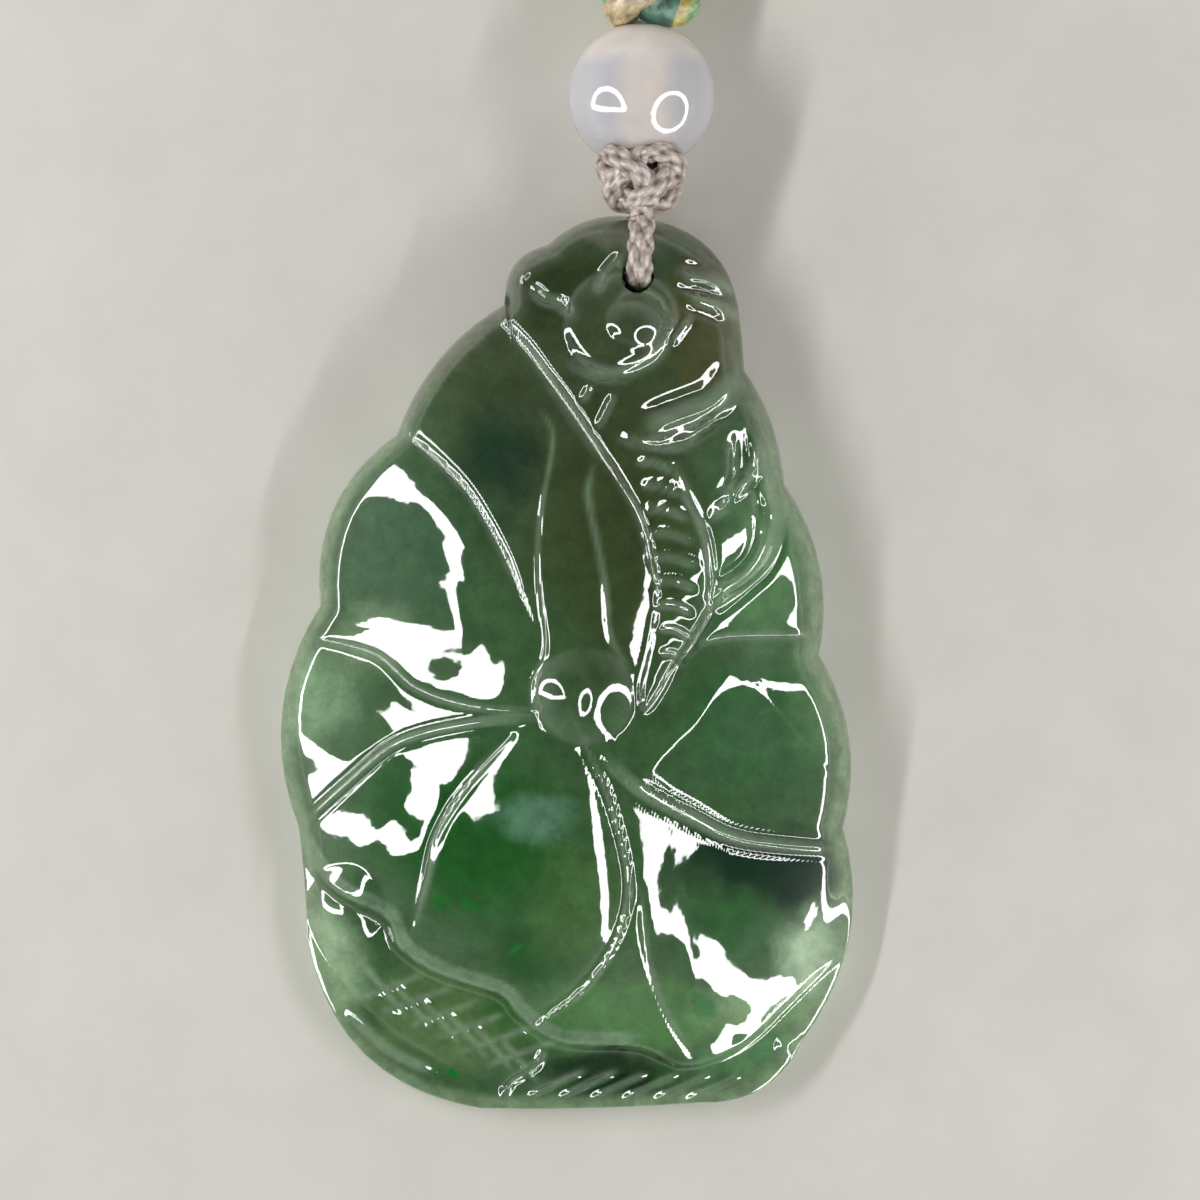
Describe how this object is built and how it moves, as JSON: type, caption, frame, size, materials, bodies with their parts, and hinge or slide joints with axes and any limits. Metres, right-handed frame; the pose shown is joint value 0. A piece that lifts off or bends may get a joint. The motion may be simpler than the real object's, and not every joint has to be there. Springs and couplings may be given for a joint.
{
  "type": "carved jade pendant",
  "caption": "Flat-backed teardrop stone pendant carved with a carp behind a lotus leaf, tied by a thin cord loop and button knot under a round bead, with a coiled necklace cord.",
  "frame": {"origin": "on the flat back of the stone, about the middle of its length and width", "axes": "+Z out of the carved front, +Y from the carp's tail to the cord and bead, +X to the right as seen from the front"},
  "size_m": [0.0352, 0.0994, 0.0092],
  "materials": {
    "jade": "polished translucent jadeite, mottled from pale to dark green",
    "chalcedony": "polished milky translucent chalcedony",
    "taupe_cord": "braided waxed cord, grey-taupe",
    "mixed_cord": "braided silky cord of teal, green, yellow and beige strands"
  },
  "bodies": {
    "root": {"jade_carp_pendant": "jade", "hanging_loop": "taupe_cord", "lower_knot": "taupe_cord", "chalcedony_bead": "chalcedony", "cord_through_bead": "taupe_cord", "upper_knot": "mixed_cord", "necklace_leg_left": "mixed_cord", "necklace_leg_right": "mixed_cord", "necklace_coil": "mixed_cord"}
  },
  "joints": []
}
